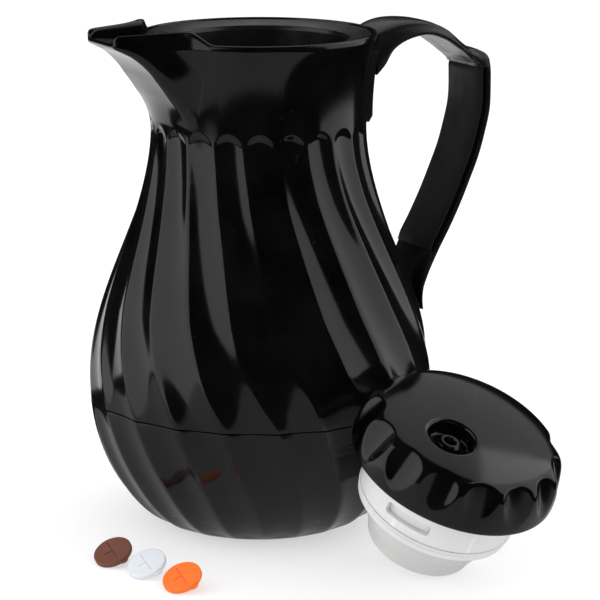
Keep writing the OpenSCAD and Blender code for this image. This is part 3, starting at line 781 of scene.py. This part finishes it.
ORANGE = plastic("tab_orange", (0.95, 0.17, 0.015), 0.36, tint=0.05, grain=0.00003)
FOAM = plastic("foam", (0.72, 0.62, 0.38), 0.85, tint=0.15, grain=0.0006, grain_size=700)
STEEL = plastic("screw_steel", (0.45, 0.45, 0.47), 0.3, tint=0.1, grain=0.00002, metal=1.0)
RUBBER = plastic("foot_rubber", (0.02, 0.02, 0.021), 0.7, grain=0.0002, grain_size=1200)


def add_piece(obj, mat, body, *nodes):
    """Paints a piece and lets it ride a body in place of CAD nodes."""
    obj.data.materials.clear()
    obj.data.materials.append(mat)
    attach(obj, body)
    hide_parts(*nodes)


add_piece(upper_shell(), BLACK, "pot", "upper_shell", "pouring_spout")
add_piece(base_shell(), BLACK, "pot", "base_shell")
add_piece(mouth_collar(), SATIN, "pot", "mouth_collar")
add_piece(handle(), SATIN, "pot", "handle_shell")
add_piece(grip_pad(), PAD, "pot", "handle_grip")
add_piece(cap_shell(), BLACK, "cap", "cap_shell")
add_piece(sleeve(), WHITE, "stopper", "stopper_sleeve")
add_piece(cup(), CUP_WHITE_AND_DRUM_SHADE, "stopper", "stopper_cup")
for tab, mat in (("tab_brown", BROWN), ("tab_white", TAB_WHITE), ("tab_orange", ORANGE)):
    add_piece(drink_tab(tab), mat, tab, tab)

# CAD nodes that are shown as they are
CARRIED = {
    "inner_liner": DARK, "foam_jacket": FOAM, "foam_base": FOAM, "cap_foam": FOAM, "cup_foam": FOAM,
    "liner_gasket": SEAL, "seam_gasket": RUBBER, "fill_plug": SEAL, "foot_pad": RUBBER,
    "tongue_screws": STEEL, "tail_screw": STEEL, "drum_screws": STEEL, "pivot_screw": STEEL,
    # the valve drum gets the darker cup white as painted shade: it stands for the shadow inside the pour
    # windows
    "cap_plate": WHITE, "valve_drum": CUP_WHITE_AND_DRUM_SHADE, "seal_ring": SEAL,
}
for name, mat in CARRIED.items():
    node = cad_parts[name]
    for slot in node.material_slots:
        slot.material = mat


# ---------- stage, light and camera ----------
def backdrop():
    """A pale floor that curves up into a wall all round and closes overhead."""
    floor_r, curve = 3000, 800
    line = [(0.001, 0), (floor_r, 0)]
    for t in np.radians(np.arange(10, 91, 10)):
        line.append((floor_r + curve * math.sin(t), curve - curve * math.cos(t)))
    line += [(3800, 3600), (3400, 4000), (0.001, 4000)]
    degrees = np.arange(0, 360, 5)
    cove = loft("backdrop", [ring(np.full(degrees.shape, r), degrees, z) for r, z in line])
    mat = bpy.data.materials.new("backdrop")
    mat.use_nodes = True
    bsdf = mat.node_tree.nodes["Principled BSDF"]
    bsdf.inputs["Base Color"].default_value = (0.45, 0.45, 0.45, 1)
    bsdf.inputs["Roughness"].default_value = 0.9
    bsdf.inputs["Specular IOR Level"].default_value = 0.0
    bsdf.inputs["Emission Color"].default_value = (1, 1, 1, 1)
    bsdf.inputs["Emission Strength"].default_value = 0.56
    cove.data.materials.append(mat)
    cove.visible_glossy = False


def softbox(name, where, aim, width, height, power):
    """A rectangular light, sized in metres and aimed at a point."""
    light = bpy.data.lights.new(name, "AREA")
    light.shape, light.size, light.size_y, light.energy = "RECTANGLE", width, height, power
    obj = bpy.data.objects.new(name, light)
    obj.location = where
    obj.rotation_euler = (Vector(aim) - Vector(where)).to_track_quat("-Z", "Y").to_euler()
    bpy.context.scene.collection.objects.link(obj)


VIEW_TURN = math.radians(26.5)


def floor_card(name, where, width, depth, glow):
    """A dim card on the floor that shows only in glossy reflections."""
    x, y = width / 2 / MM, depth / 2 / MM
    card = mesh_piece(name, [(-x, -y, 0), (x, -y, 0), (x, y, 0), (-x, y, 0)], [(0, 1, 2, 3)])
    card.location = where
    card.rotation_euler = (0, 0, -VIEW_TURN)
    mat = bpy.data.materials.new(name)
    mat.use_nodes = True
    bsdf = mat.node_tree.nodes["Principled BSDF"]
    bsdf.inputs["Base Color"].default_value = (0, 0, 0, 1)
    bsdf.inputs["Emission Color"].default_value = (1, 1, 1, 1)
    bsdf.inputs["Emission Strength"].default_value = glow
    card.data.materials.append(mat)
    card.visible_camera = card.visible_diffuse = card.visible_shadow = False


def from_camera(right, back, up):
    """A point given as metres right of, behind and above the pot's foot, as the camera sees it."""
    return (
        right * math.cos(VIEW_TURN) + back * math.sin(VIEW_TURN),
        -right * math.sin(VIEW_TURN) + back * math.cos(VIEW_TURN),
        up,
    )


def camera():
    yaw, pitch = math.radians(0.99), math.radians(13.6)
    level = math.cos(pitch)
    ahead = Vector(from_camera(math.sin(yaw) * level, math.cos(yaw) * level, -math.sin(pitch)))
    data = bpy.data.cameras.new("camera")
    data.sensor_width, data.lens = 36, 145.4
    obj = bpy.data.objects.new("camera", data)
    obj.location = from_camera(0, -1.2, 0.403)
    obj.rotation_euler = ahead.to_track_quat("-Z", "Y").to_euler()
    bpy.context.scene.collection.objects.link(obj)
    bpy.context.scene.camera = obj


camera()
bpy.context.scene.view_settings.view_transform = "Standard"
backdrop()
softbox("left", from_camera(-1.5, -0.4, 0.7), from_camera(0, 0, 0.12), 2.2, 2.0, 15)
softbox("right", from_camera(1.5, 0.1, 0.7), from_camera(0, 0, 0.12), 1.8, 2.0, 11)
softbox("back", from_camera(0.3, 1.0, 1.45), from_camera(0, 0, 0.1), 2.6, 1.6, 7)
floor_card("card_front", from_camera(-0.12, -0.25, 0.0004), 0.75, 0.7, 0.4)
floor_card("card_back", from_camera(-0.3, 0.6, 0.0004), 1.0, 0.8, 1.0)
world = bpy.data.worlds.new("studio")
bpy.context.scene.world = world
world.use_nodes = True
background = world.node_tree.nodes["Background"]
background.inputs["Color"].default_value = (0.9, 0.92, 0.95, 1)
background.inputs["Strength"].default_value = 0.012
